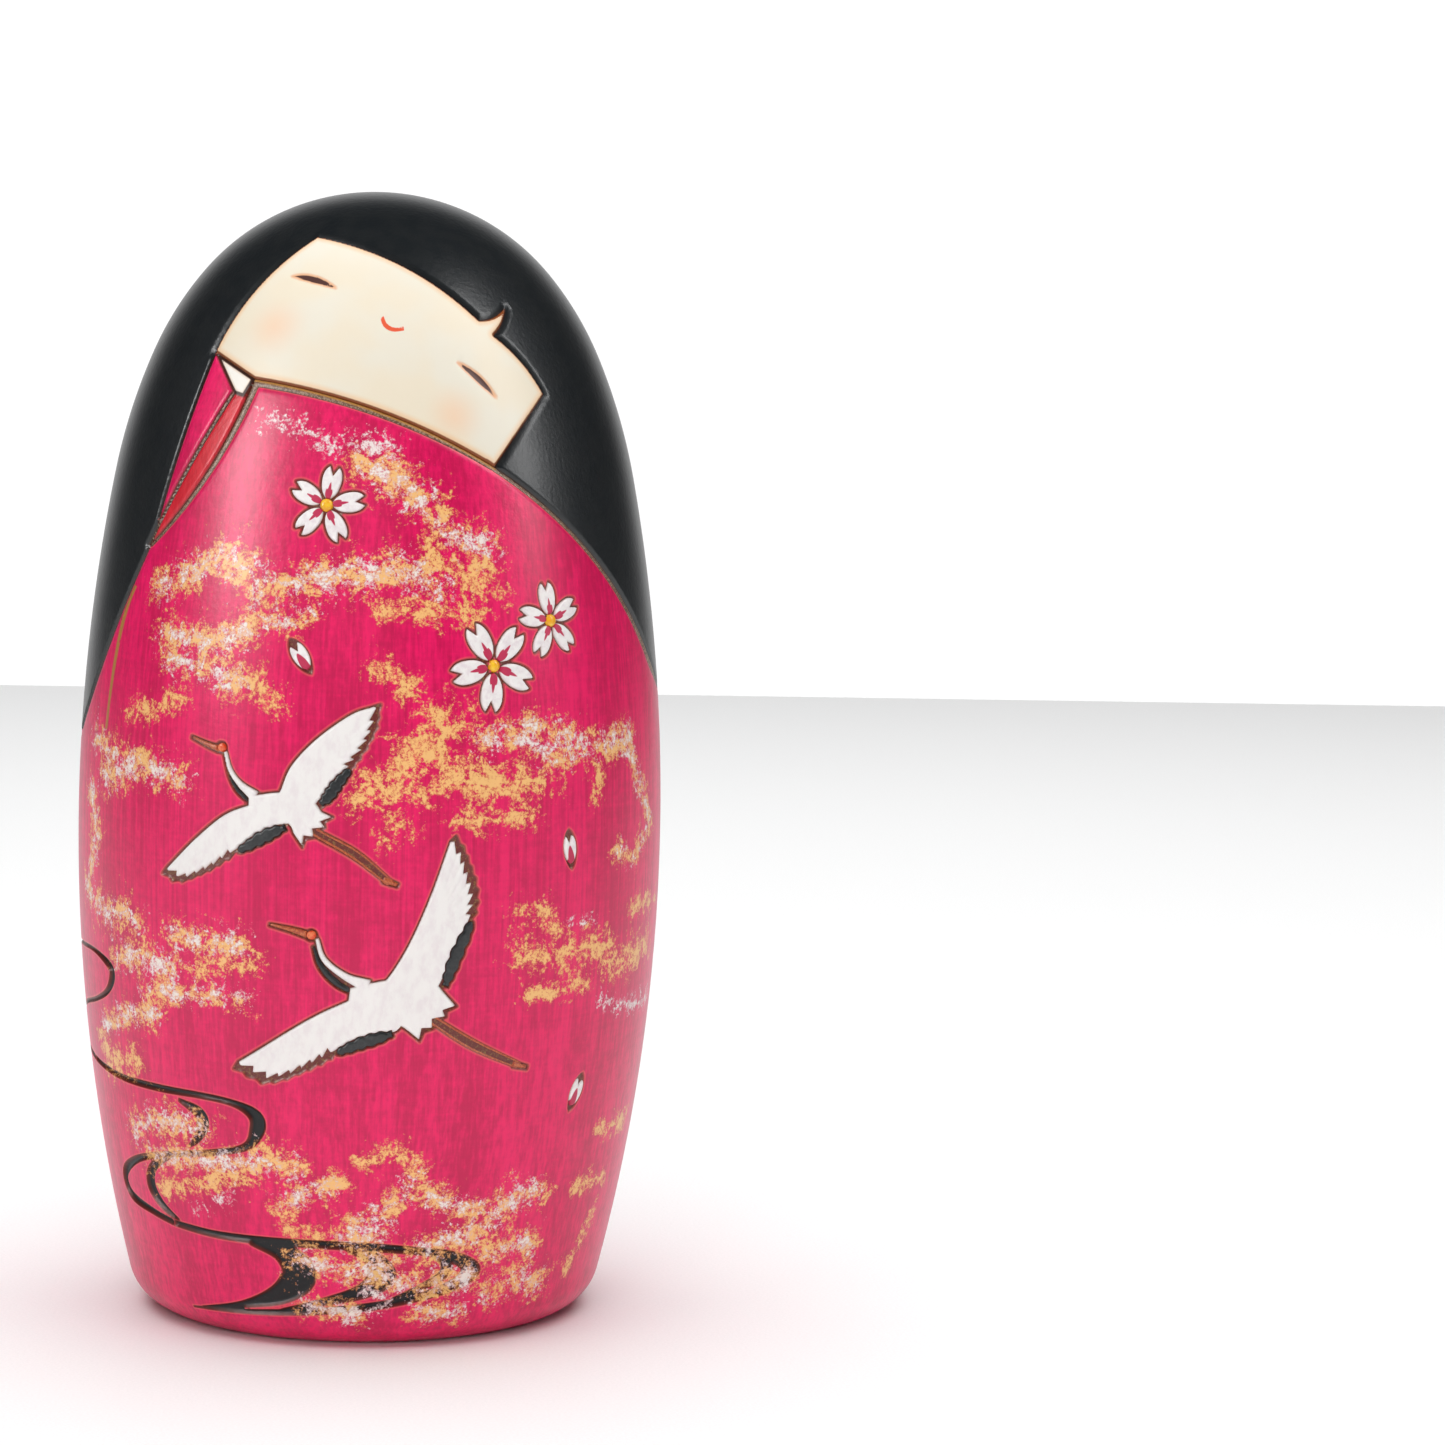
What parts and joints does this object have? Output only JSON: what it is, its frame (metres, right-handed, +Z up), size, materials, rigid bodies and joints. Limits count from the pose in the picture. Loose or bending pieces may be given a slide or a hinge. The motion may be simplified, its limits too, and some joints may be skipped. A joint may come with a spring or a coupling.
{
  "type": "kokeshi doll",
  "caption": "Cocoon-shaped turned wooden doll with carved and painted hair, face and kimono, standing on a flat base.",
  "frame": {"origin": "centre of the flat base, on the surface it stands on", "axes": "+Z up along the turning axis, -Y out of the face, +X to the viewer's right"},
  "size_m": [0.0808, 0.0809, 0.155],
  "materials": {
    "bare_wood": "smooth turned wood, unpainted",
    "black_hair": "satin black lacquer over carved wood",
    "ivory_face": "ivory paint, matte to satin",
    "white_gofun": "thick white paint, slightly raised",
    "pink_dye": "wood dyed bright pink under clear varnish",
    "red_dye": "wood dyed red under clear varnish",
    "gold_brown_edge": "burnt bevel brushed with gold",
    "burnt_line": "burnt and stained carved line",
    "orange_red_paint": "orange-red paint",
    "black_ink": "black paint in a burnt channel",
    "yellow_paint": "raised dot of yellow paint"
  },
  "bodies": {
    "root": {"wood_core": "bare_wood", "hair": "black_hair", "face": "ivory_face", "neck_collar": "white_gofun", "under_kimono": "pink_dye", "collar_lining": "red_dye", "collar_edge": "gold_brown_edge", "kimono": "pink_dye", "fold_line": "gold_brown_edge", "eye_left": "burnt_line", "eye_right": "burnt_line", "mouth": "orange_red_paint", "crane_upper_plumage": "white_gofun", "crane_upper_quills": "black_ink", "crane_upper_crest": "orange_red_paint", "crane_upper_beak": "burnt_line", "crane_upper_legs": "burnt_line", "crane_lower_plumage": "white_gofun", "crane_lower_quills": "black_ink", "crane_lower_crest": "orange_red_paint", "crane_lower_beak": "burnt_line", "crane_lower_legs": "burnt_line", "blossom_left_petals": "white_gofun", "blossom_left_pistil": "yellow_paint", "blossom_middle_petals": "white_gofun", "blossom_middle_pistil": "yellow_paint", "blossom_right_petals": "white_gofun", "blossom_right_pistil": "yellow_paint", "fallen_petal_upper": "white_gofun", "fallen_petal_middle": "white_gofun", "fallen_petal_lower": "white_gofun", "stream_upper": "black_ink", "stream_middle": "black_ink", "stream_lower": "black_ink"}
  },
  "joints": []
}
